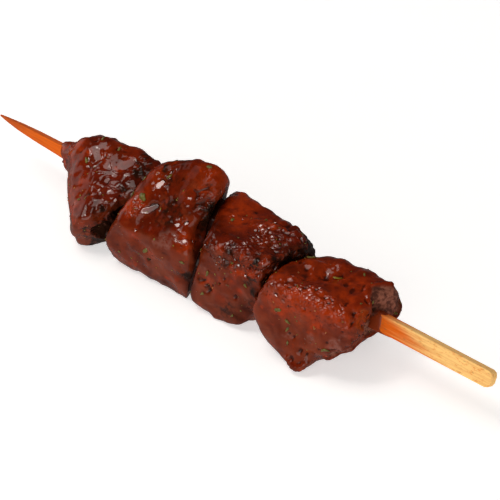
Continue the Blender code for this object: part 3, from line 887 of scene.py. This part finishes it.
def wood_finish(settings):
    """Wood that is clean at the blunt end, stained next to the meat and oily at the point."""
    finish, tree, shader, place = new_finish("stained_wood")
    axes = put(tree, "ShaderNodeSeparateXYZ", {0: place}).outputs
    height = maths(tree, "SUBTRACT", axes["Z"], SKEWER_AXIS.z * MM)
    streaks = wood_grain(tree, place, 0.045, 2600.0, 3.0, 0.6)
    wide = wood_grain(tree, place, 0.045, 900.0, 2.0, 0.5)
    pores = wood_grain(tree, place, 0.25, 2400.0, 1.0, 0.5)
    freckles = wood_grain(tree, place, 0.4, 1500.0, 3.0, 0.7)
    drift = times(tree, maths(tree, "SUBTRACT", wide, 0.5), 0.035)
    reached = maths(tree, "ADD", maths(tree, "ADD", axes["X"], drift), times(tree, height, 3.5))
    clean = spread(tree, reached, 0.056, 0.076)
    oily = spread(tree, reached, -0.064, -0.088)
    stains = times(tree, spread(tree, freckles, 0.53, 0.68, 0.0, 0.75), clean)
    worn = times(tree, spread(tree, freckles, 0.46, 0.34, 0.0, 0.35), clean)
    pitted = spread(tree, pores, 0.66, 0.74, 0.0, 0.5)
    base = layered(tree, settings.stained_wood, ((clean, settings.bare_wood), (oily, settings.oily_wood)))
    base = blend(tree, spread(tree, streaks, 0.42, 0.62, 0.0, 0.4), base, settings.wood_grain, "MULTIPLY")
    marked = ((pitted, PORE_BROWN), (stains, STAIN_ORANGE), (worn, WORN_WOOD))
    feed(tree, shader, {
        "Base Color": layered(tree, base, marked),
        "Roughness": 0.62,
        "Specular IOR Level": 0.15,
        "Normal": relief(tree, [(streaks, 0.4, 0.00015), (pores, 0.3, 0.0001)]),
    })
    return finish


def floor_finish(glow):
    """A matt white floor that gives a little light of itself, more at its raised rim."""
    finish, tree, shader, place = new_finish("white_floor")
    tone = speckle(tree, place, 3.0, 2.0, 0.5)
    height = put(tree, "ShaderNodeSeparateXYZ", {0: place}).outputs["Z"]
    feed(tree, shader, {
        "Base Color": blend(tree, tone, (0.86, 0.86, 0.86), (0.88, 0.88, 0.88)),
        "Roughness": 1.0,
        "Specular IOR Level": 0.0,
        "Emission Color": (1, 1, 1, 1),
        "Emission Strength": spread(tree, height, 0.0, 0.25, glow, glow + 0.15),
    })
    return finish


# ---------------------------------------------------------------------------------------------------
# Shapes


def round_ball(name, subdivisions):
    """A ball of even faces to be shaped into a chunk, and the unit vector of each of its points."""
    shape = bmesh.new()
    bmesh.ops.create_icosphere(shape, subdivisions=subdivisions, radius=1)
    mesh = finished_mesh(name, shape)
    ways = coordinates(mesh)
    return mesh, ways / np.linalg.norm(ways, axis=1)[:, None]


def cut_shape(ways, chunk):
    """The points of a chunk as it was cut: its faces, lumps and broad relief."""
    points = np.array(chunk["middle"]) + ways * reach(ways, chunk)[:, None]
    rough = np.array([noise.fractal(point, 1.0, 2.0, 3) for point in (points / RELIEF_SIZE).tolist()])
    points += ways * (RELIEF_HEIGHT * rough)[:, None]
    return points + ways * (GRAIN_HEIGHT * ripples(points, GRAIN_SIZE))[:, None]


def lay_pools(points, ways, chunk, frayed):
    """Flattens the glaze into its pools. Returns the points and how far each lies in a pool, 0 to 1."""
    pools = np.zeros(len(ways))
    for turn, rise, width, facing in all_pools(chunk):
        off = degrees_off(ways, turn, rise)
        blur = WIDE_BLUR if width > WIDE_POOL else NARROW_BLUR
        pool = soft_step(off / width + POOL_RAGGEDNESS * frayed, 1 + blur, 1 - blur)
        out = np.array(direction(*facing))
        centre = points[off.argmin()]
        points = points - out * (((points - centre) @ out) * pool)[:, None]
        pools = np.maximum(pools, pool)
    return points, pools


def fine_relief(points, chunk, worn, settings):
    """The height of the fibres, glaze, crinkles, blisters and bare meat, and the fibres and waves in it."""
    grain_way = np.array(direction(*chunk["grain_way"]))
    across = points - GRAIN_STRETCH * (points @ grain_way)[:, None] * grain_way
    fibres = ripples(across, *FIBRES)
    wave = ripples(points, *WAVES)
    fine = ripples(points, *FINE)
    folds = 1 - 2 * np.abs(ripples(points, *FOLDS))
    blisters = np.clip(0.75 - cells(points, *SMALL_BLISTERS), 0, 1)
    blisters = blisters + 1.3 * np.clip(0.7 - cells(points, *LARGE_BLISTERS), 0, 1)
    dry = 1 - worn["pools"]
    lively = 1 - worn["calm"]
    height = settings.fibre_height * fibres * dry * lively
    height += settings.glaze_ripple * wave * (1 - 0.8 * worn["pools"]) * lively
    crinkles = chips(points, *FINE_CHIPS) + 0.1 * folds + 0.08 * fine
    height += settings.crinkle_height * worn["crinkle"] * crinkles * dry
    height *= 1 - 0.4 * worn["facets"]
    height += settings.blister_height * worn["char"] * blisters * dry
    bare = soft_step(worn["bare"], *BARE_EDGE) * (0.16 * fine + 0.14 * ripples(points, *GRIT) - BARE_DEPTH)
    height += bare + LIP_HEIGHT * hill(worn["bare"] - LIP_PLACE, LIP_WIDTH)
    return height, fibres, wave


def meat_mesh(index, settings):
    """A chunk at full detail: the solid's shape, its flats and pools, its fine relief and its marks."""
    chunk = CHUNKS[index]
    mesh, ways = round_ball(chunk["node"] + "_meat", settings.subdivisions)
    points, held = press(cut_shape(ways, chunk), index)
    normals = move_to(mesh, points)
    frayed = sum(strength * ripples(points, size, shift) for strength, size, shift in FRAYS)
    kinds = ("char", "bare", "crinkle", "orange", "milky", "shade", "pits", "bumps", "facets")
    worn = {kind: marks(ways, all_marks(chunk, kind), frayed * RAGGED.get(kind, 0)) for kind in kinds}
    worn["calm"] = marks(ways, chunk["calm"])
    # Beside each seam a band is painted with shade
    for (contact, side, _), firm in zip(neighbours(index), held):
        seam = SEAM_SHADE * firm * soft_step(meeting(points, contact, side)[0], *SEAM_BAND)
        worn["shade"] = np.maximum(worn["shade"], seam)
    swell = worn["bumps"] - worn["pits"] + worn["facets"] * chips(points, *BROAD_CHIPS)
    points, pools = lay_pools(points + normals * swell[:, None], ways, chunk, frayed)
    worn["pools"] = pools
    normals = move_to(mesh, points)
    height, fibres, wave = fine_relief(points, chunk, worn, settings)
    points, buried = press_again(points + normals * height[:, None], index, held, 0.1 + 0.2 * wave)
    normals = move_to(mesh, points)
    # How far each point lies in a hollow; the finish paints the hollows with shade
    hollow = ((smoothed(mesh, points, HOLLOW_ROUNDS) - points) * normals).sum(1)
    move_to(mesh, in_frame(points))
    crinkle, calm = worn["crinkle"], worn["calm"]
    looks = {
        # Faces hidden in the seams and on the plate are painted dark with the char colour and made matt:
        # painted shade
        "char": np.maximum(worn["char"] * (1 - 0.6 * pools), 0.8 * buried),
        "bare": np.maximum(soft_step(worn["bare"], *BARE_EDGE), buried),
        "pools": np.maximum(pools, 0.9 * calm),
        "satin": calm * (1 - pools),
        "crinkle": crinkle * (1 - pools),
        "orange": worn["orange"],
        "milky": worn["milky"],
        "shade": worn["shade"],
        "hollow": np.clip(0.5 + (1 - 0.75 * crinkle) * hollow / HOLLOW_DEPTH, 0, 1),
        "pale": np.clip(0.5 + fibres, 0, 1),
        # Painted top shade: how far each face is turned up
        "roasted": soft_step(normals[:, 2] + 0.25 * wave, 0.35, 0.75),
    }
    for name in MEAT_MARKS:
        add_attribute(mesh, name, looks[name])
    return mesh


def loft(shape, rings, closed):
    """Skins a row of rings; a closed row joins its last ring to its first, an open one gets two caps."""
    hoops = []
    for ring in rings:
        made = bmesh.ops.create_circle(shape, segments=len(ring), radius=1)["verts"]
        hoops.append(list(dict.fromkeys(edge for vertex in made for edge in vertex.link_edges)))
        for vertex, place in zip(made, ring):
            vertex.co = place
    for first, second in zip(hoops, hoops[1:] + (hoops[:1] if closed else [])):
        bmesh.ops.bridge_loops(shape, edges=first + second)
    if not closed:
        for hoop in (hoops[0], hoops[-1]):
            bmesh.ops.holes_fill(shape, edges=hoop, sides=0)


def shared_outline(index, spokes, centre):
    """How far both neighbours at a contact reach along each spoke from the skewer."""
    radii = np.arange(3, 25, 0.1)
    outline = []
    for spoke in spokes:
        points = centre + radii[:, None] * spoke
        inside = points[:, 2] > -SKEWER_AXIS.z
        for chunk in CHUNKS[index:index + 2]:
            inside &= depth_inside(points, chunk) > 0
        outline.append(radii[len(inside) - 1 if inside.all() else inside.argmin()])
    return np.array(outline)


def groove_sauce(shape, index):
    """A bead of sauce that runs round the groove between two neighbours, deeper in some places."""
    place, turn, rise = CONTACTS[index]
    facing = np.array(direction(turn, rise))
    level = np.cross((0, 0, 1), facing)
    level /= np.linalg.norm(level)
    up = np.cross(facing, level)
    angles = np.arange(0, 360, 2)
    spokes = np.cos(np.radians(angles))[:, None] * level + np.sin(np.radians(angles))[:, None] * up
    centre = np.array((place, 0, 0))
    depth, rises = GROOVES[index]
    sink = np.full(len(angles), depth)
    for angle, width, height in rises:
        sink -= height * hill((angles - angle + 180) % 360 - 180, width)
    rim = centre + (shared_outline(index, spokes, centre) - sink)[:, None] * spokes
    over = meeting(rim, CONTACTS[index], 1)[0]
    rim -= over[:, None] * facing
    wave = ripples(rim, 3.0, 31.0)
    rings = []
    for around in range(0, 360, 30):
        lift = (BEAD_RISE * math.cos(math.radians(around)) - BEAD_SINK) * (1 + 0.3 * wave)
        aside = BEAD_WIDTH * math.sin(math.radians(around)) * (1 + 0.4 * wave)
        ring = rim + lift[:, None] * spokes + aside[:, None] * facing
        ring[:, 2] = np.maximum(ring[:, 2], 0.15 - SKEWER_AXIS.z)
        rings.append([Vector(spot) for spot in in_frame(ring)])
    loft(shape, rings, True)


def collar_ring(along, start, end, thickness, far_side, further, blunt):
    """One ring of sauce round the skewer, at that share of the way from start to end."""
    lean = math.radians(SKEWER_LEAN)
    ring = []
    for turn in range(0, 360, 15):
        angle = math.radians(turn)
        wide = math.copysign(abs(math.cos(angle)) ** 0.35, math.cos(angle)) * SKEWER_WIDTH / 2
        thick = math.copysign(abs(math.sin(angle)) ** 0.35, math.sin(angle)) * SKEWER_THICKNESS / 2
        uneven = noise.noise(Vector((math.cos(angle), math.sin(angle), start)) * 1.3)
        cover = (thickness * (1 + 0.5 * uneven) + 0.22) * (1 - along ** blunt) - 0.1
        out = 1 + cover / math.hypot(wide, thick)
        wide, thick = wide * out, thick * out
        far = 1 + further * max(0, math.cos(angle - math.radians(far_side))) ** 3
        place = start + (end - start) * along * far * (0.95 + 0.15 * uneven)
        across = wide * math.sin(lean) + thick * math.cos(lean)
        ring.append((place, across, wide * math.cos(lean) - thick * math.sin(lean)))
    return [Vector(spot) for spot in in_frame(ring)]


def herb_spots(index, draw):
    """The chunk's larger flakes as (direction, length), the set ones first and then the drawn ones."""
    chunk = CHUNKS[index]
    spots = [(direction(turn, rise), length) for turn, rise, length in chunk["herbs"]]
    middle = Vector(chunk["middle"])
    while len(spots) < len(chunk["herbs"]) + HERB_DRAWS:
        way = direction(*drawn_way(draw, -0.7, 0.9, 15, 200))
        point = middle + way * float(reach(np.array([way]), chunk)[0])
        walls = [point.z + SKEWER_AXIS.z, Vector((0, point.y, point.z)).length - SKEWER_WIDTH / 2]
        for (place, *facing), side, _ in neighbours(index):
            walls.append((Vector((place, 0, 0)) - point).dot(direction(*facing) * side))
        if min(walls) > HERB_CLEARANCE and all(way.angle(other) > 0.3 for other, _ in spots):
            spots.append((way, draw.uniform(*HERB_LENGTHS)))
    return spots


def surface_of(node):
    """The finished surface of a chunk, in metres, for laying things on."""
    mesh = bpy.data.objects[node + "_meat"].data
    corners = [vertex.co.copy() for vertex in mesh.vertices]
    return BVHTree.FromPolygons(corners, [tuple(face.vertices) for face in mesh.polygons])


def lay(shape, verts, surface, chunk, way, rise, turn):
    """Lays a bit modelled at the origin on a chunk, raised a little. Returns how many points it laid."""
    start = Vector(in_frame([Vector(chunk["middle"]) + way * 60])[0])
    spot, normal, *_ = surface.ray_cast(start, -way)
    if spot is None:
        bmesh.ops.delete(shape, geom=verts, context="VERTS")
        return 0
    around = Matrix.Rotation(turn, 3, "Z")
    stand = normal.to_track_quat("Z", "Y").to_matrix() @ around
    moved = Matrix.Translation(spot + normal * rise) @ stand.to_4x4()
    bmesh.ops.transform(shape, matrix=moved, verts=verts)
    return len(verts)


def flake(shape, length, width, thickness, draw, sides):
    """A thin curled flake about the origin, with a ragged rim and a raised rib. Returns its verts."""
    made = bmesh.ops.create_cone(
        shape, cap_ends=True, cap_tris=True, segments=sides, radius1=length * 0.46, radius2=length * 0.5,
        depth=thickness,
    )["verts"]
    curl = draw.uniform(-0.25, 0.35)
    stretch = {}
    for vertex in made:
        angle = round(math.atan2(vertex.co.y, vertex.co.x), 2)
        rim = vertex.co.xy.length > length * 0.1
        if angle not in stretch:
            stretch[angle] = draw.uniform(0.5, 1.15)
        factor = stretch[angle] if rim else 1.0
        vertex.co.x *= factor
        vertex.co.y *= factor * width
        vertex.co.z += curl * vertex.co.x ** 2 / length + (0 if rim else thickness * 0.35)
    return made


def lay_flakes(shape, index, surface, draw):
    """Lays a chunk's larger herb flakes. Returns the tint of each of their points."""
    tints = []
    for way, length in herb_spots(index, draw):
        turn = draw.uniform(0, math.pi)
        width = draw.uniform(0.38, 0.75)
        made = flake(shape, length * FLAKE_GROWTH * MM, width, 0.2 * MM, random.Random(turn), 9)
        laid = lay(shape, made, surface, CHUNKS[index], way, 0.10 * MM, turn)
        tints += [1.0 if length > DRY_LENGTH else 0.15] * laid
    return tints


def lay_crumbs(shape, chunk, surface, count):
    """Scatters small herb crumbs on a chunk. Returns the tint of each of their points."""
    scatter = random.Random(chunk["node"])
    tints = []
    for _ in range(count):
        way = direction(*drawn_way(scatter, -0.6, 0.98))
        length = scatter.uniform(0.35, 0.85) * MM
        made = flake(shape, length, scatter.uniform(0.4, 0.8), 0.14 * MM, scatter, 5)
        laid = lay(shape, made, surface, chunk, way, 0.05 * MM, scatter.uniform(0, 6))
        if laid:
            tints += [scatter.uniform(0.0, 0.8)] * laid
    return tints


def lay_spices(shape, chunk, surface, count):
    """Scatters grains of ground spice on a chunk. Returns the tint of each of their points."""
    scatter = random.Random(chunk["node"] + "_spice")
    tints = []
    for _ in range(count):
        way = direction(*drawn_way(scatter, -0.6, 0.98))
        size = scatter.uniform(0.16, 0.38) * MM
        made = bmesh.ops.create_icosphere(shape, subdivisions=1, radius=size)["verts"]
        squash = Matrix.Diagonal((1, scatter.uniform(0.5, 1), scatter.uniform(0.4, 0.7)))
        bmesh.ops.transform(shape, matrix=squash.to_4x4(), verts=made)
        laid = lay(shape, made, surface, chunk, way, 0.04 * MM, scatter.uniform(0, 6))
        if laid:
            tints += [scatter.choice((0.0, 0.3, 1.0, 1.0))] * laid
    return tints


def add_bits(name, shape, tints, finish):
    """Makes one piece of all the bits laid on the meat, with a tint for each."""
    mesh = finished_mesh(name, shape, finish)
    add_attribute(mesh, "tint", tints)
    make_object(name, mesh)


# ---------------------------------------------------------------------------------------------------
# Settings


def hue(name, description, default):
    """A colour setting."""
    return FloatVectorProperty(name=name, description=description, subtype="COLOR", default=default)


def amount(name, description, default, subtype="NONE"):
    """A setting that is a number from 0 up."""
    return FloatProperty(name=name, description=description, subtype=subtype, default=default, min=0)


def number(name, description, default, low=0, high=200):
    """A setting that is a whole number."""
    return IntProperty(name=name, description=description, default=default, min=low, max=high)


class KebabMeatSettings(bpy.types.PropertyGroup):
    """The detail, relief and colours of the meat and its sauce"""

    subdivisions: number("Subdivisions", "Detail of each chunk", 7, 4, 7)
    fibre_height: amount("Fibres", "Height of the muscle fibres in mm", 0.1)
    glaze_ripple: amount("Glaze ripple", "Unevenness of the glaze in mm", 0.1)
    crinkle_height: amount("Crinkles", "Height of the glaze crinkles", 1.0)
    blister_height: amount("Blisters", "Height of the charred blisters in mm", 0.55)
    glaze: hue("Glaze", "Colour of the glazed meat", (0.150, 0.0180, 0.0035))
    # The glaze painted on faces turned up, darker and redder than on the sides: painted shade
    top_shade_glaze: hue("Roasted glaze", "Colour of the glaze on top", (0.140, 0.0085, 0.0010))
    cloudy_glaze: hue("Cloudy glaze", "Colour where the glaze dried milky", (0.21, 0.045, 0.020))
    # The pale colour of the painted sheen on the milky marks
    painted_sheen_glaze: hue("Milky glaze", "Colour where a skin formed on the glaze", (0.20, 0.066, 0.047))
    # The darker glaze painted on faces turned up, also painted shade
    dark_top_shade_glaze: hue("Dark roast", "Colour of the browned glaze on top", (0.075, 0.0048, 0.0007))
    dark_glaze: hue("Dark glaze", "Colour where the glaze browned", (0.090, 0.0110, 0.0028))
    orange_glaze: hue("Orange glaze", "Colour where the sauce lies thick", (0.34, 0.030, 0.003))
    pale_glaze: hue("Pale fibres", "Colour of the paler fibres", (0.17, 0.026, 0.007))
    # The colour of painted shade, in the hollows, on the shade marks, beside the seams and on the sauce in
    # the grooves
    painted_shade: hue("Creases", "Colour of the sauce in the creases", (0.022, 0.003, 0.0012))
    char: hue("Char", "Colour of the charred spots", (0.018, 0.006, 0.003))
    bare_meat: hue("Bare meat", "Colour of the unglazed meat", (0.25, 0.088, 0.055))
    bare_dark: hue("Seared meat", "Colour of the seared, unglazed meat", (0.080, 0.026, 0.017))


class KebabHerbSettings(bpy.types.PropertyGroup):
    """How many herb crumbs and spice bits there are, and their colours"""

    crumbs: number("Crumbs", "Small herb crumbs on each chunk", 46)
    spices: number("Spices", "Spice bits on each chunk", 30)
    fresh: hue("Fresh", "Colour of the greener flakes", (0.125, 0.108, 0.010))
    dry: hue("Dry", "Colour of the drier flakes", (0.36, 0.25, 0.004))
    spice: hue("Spice", "Colour of the paler spice bits", (0.42, 0.13, 0.02))
    pepper: hue("Pepper", "Colour of the darker spice bits", (0.16, 0.02, 0.004))


class KebabSkewerSettings(bpy.types.PropertyGroup):
    """The colours of the wood"""

    bare_wood: hue("Clean wood", "Colour of the clean end", (1.0, 0.61, 0.21))
    stained_wood: hue("Stained wood", "Colour next to the meat", (0.75, 0.13, 0.004))
    oily_wood: hue("Oily wood", "Colour of the pointed end", (0.52, 0.09, 0.010))
    wood_grain: hue("Grain", "Tint of the darker grain", (0.72, 0.48, 0.3))


class KebabStageSettings(bpy.types.PropertyGroup):
    """The lights and the glow of the floor"""

    key_power: amount("Key light", "Power of the front softbox", 1.0, "POWER")
    top_power: amount("Top light", "Power of the overhead softbox", 2.4, "POWER")
    side_power: amount("Side light", "Power of the panel at the skewer's point", 1.5, "POWER")
    fill_power: amount("Fill light", "Power of the camera-side softbox", 4.8, "POWER")
    ceiling_power: amount("Ceiling light", "Power of the dull light above", 2.0, "POWER")
    sky: amount("Room light", "Strength of the light from the room", 0.04)
    table_glow: amount("Table glow", "Brightness of the table in the gloss", 0.27)
    floor_glow: amount("Floor glow", "Light that the floor gives of itself", 0.5)


# ---------------------------------------------------------------------------------------------------
# The stage


def add_floor(scene, glow):
    """A wide round floor whose rim rises into a backdrop."""
    shape = bmesh.new()
    rim = [shape.verts.new((out, 0, height)) for out, height in FLOOR_OUTLINE]
    for first, second in zip(rim, rim[1:]):
        shape.edges.new((first, second))
    bmesh.ops.spin(
        shape, geom=shape.verts[:] + shape.edges[:], axis=(0, 0, 1), cent=(0, 0, 0), steps=64,
        angle=math.tau, use_merge=True,
    )
    bmesh.ops.remove_doubles(shape, verts=shape.verts, dist=1e-5)
    bmesh.ops.recalc_face_normals(shape, faces=shape.faces)
    mesh = finished_mesh("studio_floor", shape, floor_finish(glow))
    mesh.shade_smooth()
    floor = bpy.data.objects.new("studio_floor", mesh)
    scene.collection.objects.link(floor)
    floor.visible_glossy = False


def set_up(thing, way, away):
    """Puts a light or the camera that far from the camera's aim, facing it."""
    thing.location = CAMERA_AIM + way.normalized() * away
    thing.rotation_euler = way.to_track_quat("Z", "Y").to_euler()


def add_lamp(scene, name, way, away, size, power, seen):
    """A square area light that shines at the camera's aim."""
    lamp = bpy.data.lights.new(name, "AREA")
    lamp.shape = "SQUARE"
    lamp.size = size
    lamp.energy = power
    lamp.color = LAMP_COLOUR
    holder = bpy.data.objects.new(name, lamp)
    set_up(holder, Vector(way), away)
    holder.visible_camera = False
    holder.visible_glossy = seen
    scene.collection.objects.link(holder)


def add_room_light(scene, settings):
    """Soft light from all round, brighter from the table in front."""
    world = bpy.data.worlds.new("studio")
    world.use_nodes = True
    tree = world.node_tree
    coordinate = put(tree, "ShaderNodeTexCoord").outputs["Generated"]
    ways = put(tree, "ShaderNodeSeparateXYZ", {0: coordinate}).outputs
    table = times(tree, spread(tree, ways["Y"], *ROOM_SIDES, 1.0, 0.3), settings.table_glow - settings.sky)
    table = times(tree, table, spread(tree, ways["Z"], *TABLE_EDGE, 1.0, 0.0))
    level = maths(tree, "ADD", table, settings.sky)
    feed(tree, tree.nodes["Background"], {"Strength": level, "Color": (1, 1, 1, 1)})
    scene.world = world


def add_camera(scene):
    """The camera, above and in front of the kebab."""
    lens = bpy.data.cameras.new("camera")
    lens.sensor_width = CAMERA_SENSOR
    lens.lens = CAMERA_LENS
    camera = bpy.data.objects.new("camera", lens)
    set_up(camera, direction(*CAMERA_WAY), CAMERA_AWAY)
    scene.collection.objects.link(camera)
    scene.camera = camera


# ---------------------------------------------------------------------------------------------------
# Operators


class KEBAB_OT_add_meat(bpy.types.Operator):
    """Builds the four lamb chunks around their solids"""

    bl_idname = "kebab.add_meat"
    bl_label = "Lamb Chunks"

    def execute(self, context):
        settings = context.scene.kebab_meat
        finish = glazed_meat_finish(settings)
        for index, chunk in enumerate(CHUNKS):
            mesh = meat_mesh(index, settings)
            mesh.materials.append(finish)
            make_object(chunk["node"] + "_meat", mesh, replaces=[chunk["node"]])
        return {"FINISHED"}


class KEBAB_OT_add_sauce(bpy.types.Operator):
    """Fills the grooves between the chunks and runs a little sauce along the skewer"""

    bl_idname = "kebab.add_sauce"
    bl_label = "Sauce"

    def execute(self, context):
        shape = bmesh.new()
        for index in range(len(CONTACTS)):
            groove_sauce(shape, index)
        for collar in COLLARS:
            loft(shape, [collar_ring(step / 12, *collar) for step in range(13)], False)
        bmesh.ops.recalc_face_normals(shape, faces=shape.faces)
        mesh = finished_mesh("sauce", shape, sauce_finish(context.scene.kebab_meat))
        make_object("sauce", mesh)
        return {"FINISHED"}


class KEBAB_OT_add_herbs(bpy.types.Operator):
    """Lays herb flakes and crumbs on the glaze"""

    bl_idname = "kebab.add_herbs"
    bl_label = "Herb Flakes"

    def execute(self, context):
        settings = context.scene.kebab_herbs
        draw = random.Random(HERB_SEED)
        shape = bmesh.new()
        tints = []
        for index, chunk in enumerate(CHUNKS):
            surface = surface_of(chunk["node"])
            tints += lay_flakes(shape, index, surface, draw)
            tints += lay_crumbs(shape, chunk, surface, settings.crumbs)
        finish = flake_finish("dried_herb", settings.fresh, settings.dry, 1800.0)
        add_bits("herb_flakes", shape, tints, finish)
        return {"FINISHED"}


class KEBAB_OT_add_spices(bpy.types.Operator):
    """Scatters ground spice on the glaze"""

    bl_idname = "kebab.add_spices"
    bl_label = "Spice Bits"

    def execute(self, context):
        settings = context.scene.kebab_herbs
        shape = bmesh.new()
        tints = []
        for chunk in CHUNKS:
            tints += lay_spices(shape, chunk, surface_of(chunk["node"]), settings.spices)
        finish = flake_finish("ground_spice", settings.spice, settings.pepper, 2500.0)
        add_bits("spice_bits", shape, tints, finish)
        return {"FINISHED"}


class KEBAB_OT_add_skewer(bpy.types.Operator):
    """Gives the skewer its stained wood"""

    bl_idname = "kebab.add_skewer"
    bl_label = "Skewer"

    def execute(self, context):
        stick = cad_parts["skewer"]
        stick.data.materials.clear()
        stick.data.materials.append(wood_finish(context.scene.kebab_skewer))
        return {"FINISHED"}


class KEBAB_OT_add_stage(bpy.types.Operator):
    """Sets the floor, the studio lights and the camera"""

    bl_idname = "kebab.add_stage"
    bl_label = "Stage"

    def execute(self, context):
        scene = context.scene
        settings = scene.kebab_stage
        add_floor(scene, settings.floor_glow)
        for name, way, away, size, power, seen in LAMPS:
            add_lamp(scene, name, way, away, size, getattr(settings, power), seen)
        add_room_light(scene, settings)
        scene.view_settings.view_transform = "Standard"
        add_camera(scene)
        return {"FINISHED"}


class KEBAB_PT_sidebar(bpy.types.Panel):
    """Lists the kebab's pieces and their settings"""

    bl_idname = "KEBAB_PT_sidebar"
    bl_label = "Lamb Kebab"
    bl_space_type = "VIEW_3D"
    bl_region_type = "UI"
    bl_category = "Kebab"

    def draw(self, context):
        for steps, group in GROUPS.items():
            column = self.layout.column(align=True)
            for step in steps:
                column.operator(step.bl_idname)
            settings = getattr(context.scene, group)
            for name in settings.bl_rna.properties.keys():
                if name not in ("rna_type", "name"):
                    column.prop(settings, name)


GROUPS = {
    (KEBAB_OT_add_meat, KEBAB_OT_add_sauce): "kebab_meat",
    (KEBAB_OT_add_herbs, KEBAB_OT_add_spices): "kebab_herbs",
    (KEBAB_OT_add_skewer,): "kebab_skewer",
    (KEBAB_OT_add_stage,): "kebab_stage",
}
SETTINGS = {
    "kebab_meat": KebabMeatSettings,
    "kebab_herbs": KebabHerbSettings,
    "kebab_skewer": KebabSkewerSettings,
    "kebab_stage": KebabStageSettings,
}
CLASSES = [*SETTINGS.values(), *(step for steps in GROUPS for step in steps), KEBAB_PT_sidebar]


def register():
    """Adds the settings, the operators and the panel to Blender."""
    for cls in CLASSES:
        bpy.utils.register_class(cls)
    for name, cls in SETTINGS.items():
        setattr(bpy.types.Scene, name, PointerProperty(type=cls))


def unregister():
    """Takes them out again."""
    for name in SETTINGS:
        delattr(bpy.types.Scene, name)
    for cls in reversed(CLASSES):
        bpy.utils.unregister_class(cls)


def main():
    """Builds every piece in order."""
    register()
    bpy.ops.kebab.add_stage()
    bpy.ops.kebab.add_meat()
    bpy.ops.kebab.add_sauce()
    bpy.ops.kebab.add_herbs()
    bpy.ops.kebab.add_spices()
    bpy.ops.kebab.add_skewer()


if __name__ == "__main__":
    main()
